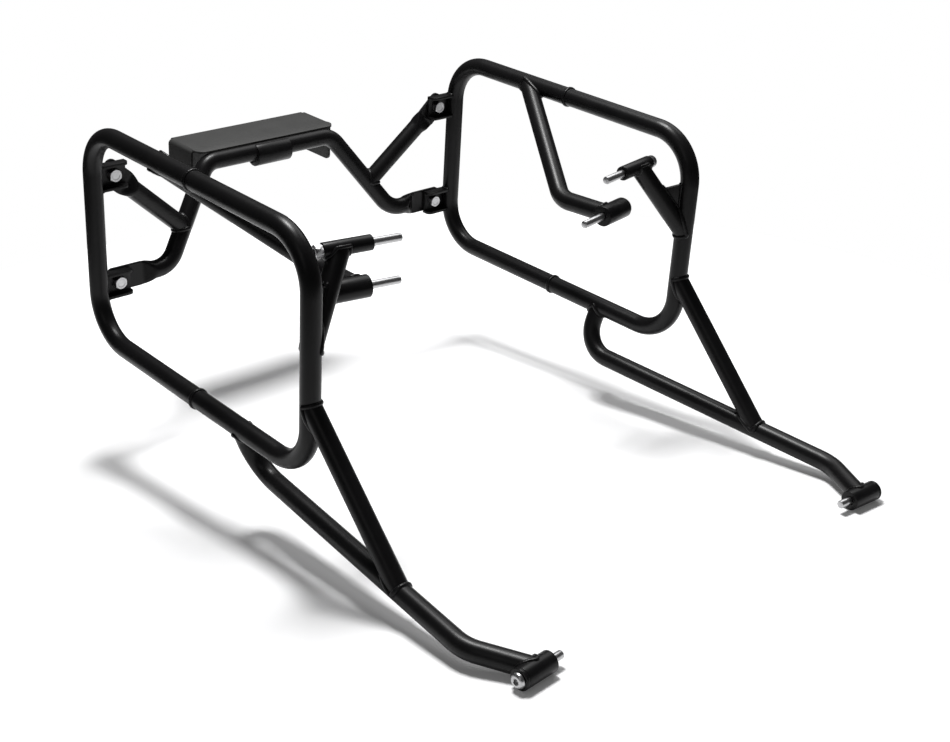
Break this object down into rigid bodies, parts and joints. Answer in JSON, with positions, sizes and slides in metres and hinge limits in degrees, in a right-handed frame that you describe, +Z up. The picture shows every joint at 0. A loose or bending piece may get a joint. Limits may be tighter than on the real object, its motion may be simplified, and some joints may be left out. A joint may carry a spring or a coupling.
{
  "type": "pannier frame",
  "caption": "Black tubular pannier frame for a motorcycle: a loop on each side, bolted legs, arms and stays, and a rear crossbar with a tail box.",
  "frame": {"origin": "middle of the whole frame's bounding box", "axes": "+X to the rider's left, +Y to the rear of the motorcycle, +Z up"},
  "size_m": [0.5284, 0.776, 0.3106],
  "materials": {
    "black_powder_coat": "satin",
    "tail_box_powder_coat": "satin",
    "zinc_plated_steel": "zinc plated"
  },
  "bodies": {
    "root": {"left_loop_rear": "black_powder_coat", "left_loop_front": "black_powder_coat", "left_leg_tube": "black_powder_coat", "left_leg_strut": "black_powder_coat", "left_leg_boss": "black_powder_coat", "left_leg_cap": "black_powder_coat", "left_leg_bolt": "zinc_plated_steel", "left_arm_tube": "black_powder_coat", "left_arm_boss": "black_powder_coat", "left_arm_washer": "zinc_plated_steel", "left_arm_bolt": "zinc_plated_steel", "left_front_stay": "black_powder_coat", "left_stay_gusset": "black_powder_coat", "left_stay_boss": "black_powder_coat", "left_stay_bolt": "zinc_plated_steel", "left_upper_bracket": "black_powder_coat", "left_lower_bracket": "black_powder_coat", "left_rear_brace": "black_powder_coat", "left_rear_bolts": "zinc_plated_steel", "left_rear_nuts": "zinc_plated_steel", "right_loop_rear": "black_powder_coat", "right_loop_front": "black_powder_coat", "right_leg_tube": "black_powder_coat", "right_leg_strut": "black_powder_coat", "right_leg_boss": "black_powder_coat", "right_leg_cap": "black_powder_coat", "right_leg_bolt": "zinc_plated_steel", "right_arm_tube": "black_powder_coat", "right_arm_boss": "black_powder_coat", "right_arm_washer": "zinc_plated_steel", "right_arm_bolt": "zinc_plated_steel", "right_front_stay": "black_powder_coat", "right_stay_gusset": "black_powder_coat", "right_stay_boss": "black_powder_coat", "right_stay_bolt": "zinc_plated_steel", "right_upper_bracket": "black_powder_coat", "right_lower_bracket": "black_powder_coat", "right_rear_brace": "black_powder_coat", "right_rear_bolts": "zinc_plated_steel", "right_rear_nuts": "zinc_plated_steel", "rear_crossbar": "black_powder_coat", "crossbar_saddle": "black_powder_coat", "tail_box": "tail_box_powder_coat"}
  },
  "joints": []
}
